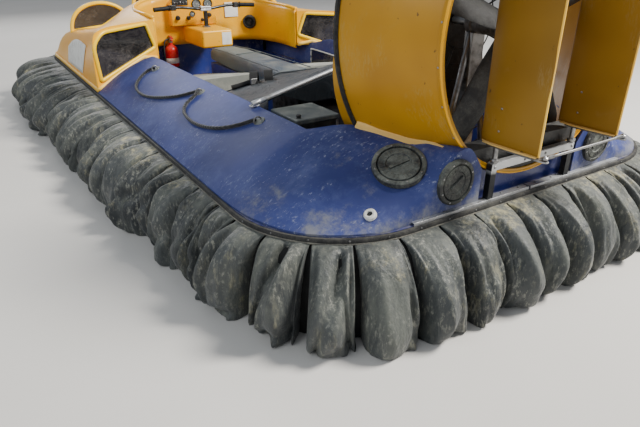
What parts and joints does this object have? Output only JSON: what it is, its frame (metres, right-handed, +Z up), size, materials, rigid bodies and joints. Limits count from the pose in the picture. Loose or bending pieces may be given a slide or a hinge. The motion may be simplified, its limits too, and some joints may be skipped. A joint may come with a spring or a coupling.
{
  "type": "hovercraft",
  "caption": "Small open hovercraft on its deflated skirt, with a yellow nose cowl, straddle seat, ducted stern fan, linked rudders and handlebar steering.",
  "frame": {"origin": "on the floor, under the middle of the craft's box", "axes": "+X to the port side, -Y to the bow, +Z up"},
  "size_m": [3.0068, 5.4025, 1.5832],
  "materials": {
    "hull_grp": "moulded blue GRP, worn",
    "hull_fabric": "coated blue fabric, scuffed and dusty",
    "skirt_fabric": "coated charcoal fabric, dusty",
    "yellow_grp": "moulded yellow GRP, satin",
    "tinted_pane": "smoked clear sheet",
    "bar_steel": "bare bar, worn",
    "seat_vinyl": "grained grey vinyl",
    "cover_fabric": "creased slate coated cloth",
    "red_paint": "gloss red paint",
    "alloy": "bare, dull",
    "engine_alloy": "cast, oily",
    "black_plastic": "satin black",
    "pale_grp": "pale grey GRP, dusty",
    "guard_steel": "black coated wire",
    "fan_plastic": "moulded black blades",
    "grip_rubber": "ribbed black rubber",
    "rope_fibre": "black braided rope",
    "hatch_plastic": "black, grey with dust",
    "rubber_trim": "black rubber strip, scuffed"
  },
  "bodies": {
    "hull": {"hull_tray": "hull_grp", "side_body_port": "hull_fabric", "side_body_starboard": "hull_fabric", "edge_strip": "rubber_trim", "skirt_stern": "skirt_fabric", "skirt_starboard": "skirt_fabric", "skirt_bow": "skirt_fabric", "skirt_port": "skirt_fabric", "nose_cowl": "yellow_grp", "dashboard": "yellow_grp", "screen_port": "tinted_pane", "screen_starboard": "tinted_pane", "screen_centre": "tinted_pane", "instrument_panel": "yellow_grp", "steering_box": "yellow_grp", "seat_base": "hull_grp", "seat_cushion": "seat_vinyl", "fire_extinguisher": "red_paint", "engine_cover": "cover_fabric", "cover_hoop": "alloy", "engine_block": "engine_alloy", "side_box": "black_plastic", "belt_guard": "black_plastic", "duct_shell": "yellow_grp", "duct_lip": "yellow_grp", "fan_guard": "guard_steel", "fan_pylon": "alloy", "splitter": "alloy", "stern_beam": "alloy", "rudder_bar": "alloy", "side_window_port": "tinted_pane", "side_window_starboard": "tinted_pane", "footboard_port": "pale_grp", "footboard_starboard": "pale_grp", "rope_port": "rope_fibre", "rope_starboard": "rope_fibre", "deck_hatch_port": "hatch_plastic", "deck_hatch_starboard": "hatch_plastic", "stern_hatch_port": "hatch_plastic", "stern_hatch_starboard": "hatch_plastic"},
    "fan_rotor": {"fan": "fan_plastic"},
    "controls": {"handlebar": "bar_steel", "grip_port": "grip_rubber", "grip_starboard": "grip_rubber"},
    "port_rudder": {"rudder_port": "yellow_grp"},
    "starboard_rudder": {"rudder_starboard": "yellow_grp"},
    "linkage": {"tie_rod": "bar_steel"},
    "box_lid": {"side_box_lid": "pale_grp"}
  },
  "joints": [
    {"name": "fan_spin", "type": "hinge", "parent": "hull", "child": "fan_rotor", "pos_m": [0, 2.27, 0.931], "axis": [0, 1, 0], "continuous": true},
    {"name": "steering", "type": "hinge", "parent": "hull", "child": "controls", "pos_m": [0, -0.814, 0.768], "axis": [0, 0, 1], "range_deg": [-20, 20]},
    {"name": "rudder_port_turn", "type": "hinge", "parent": "hull", "child": "port_rudder", "pos_m": [0.225, 2.432, 0.95], "axis": [0, 0, 1], "range_deg": [-25, 25]},
    {"name": "rudder_starboard_turn", "type": "hinge", "parent": "hull", "child": "starboard_rudder", "pos_m": [-0.225, 2.432, 0.95], "axis": [0, 0, 1], "range_deg": [-25, 25]},
    {"name": "tie_rod_swing", "type": "hinge", "parent": "port_rudder", "child": "linkage", "pos_m": [0.225, 2.632, 0.573], "axis": [0, 0, 1], "range_deg": [-25, 25]},
    {"name": "box_lid_hinge", "type": "hinge", "parent": "hull", "child": "box_lid", "pos_m": [0.424, 1.62, 0.5243], "axis": [0, -1, 0], "range_deg": [0, 95]}
  ],
  "couplings": [
    {"joint": "rudder_port_turn", "follows": "steering", "ratio": -1.25},
    {"joint": "rudder_starboard_turn", "follows": "steering", "ratio": -1.25},
    {"joint": "tie_rod_swing", "follows": "steering", "ratio": 1.25}
  ]
}
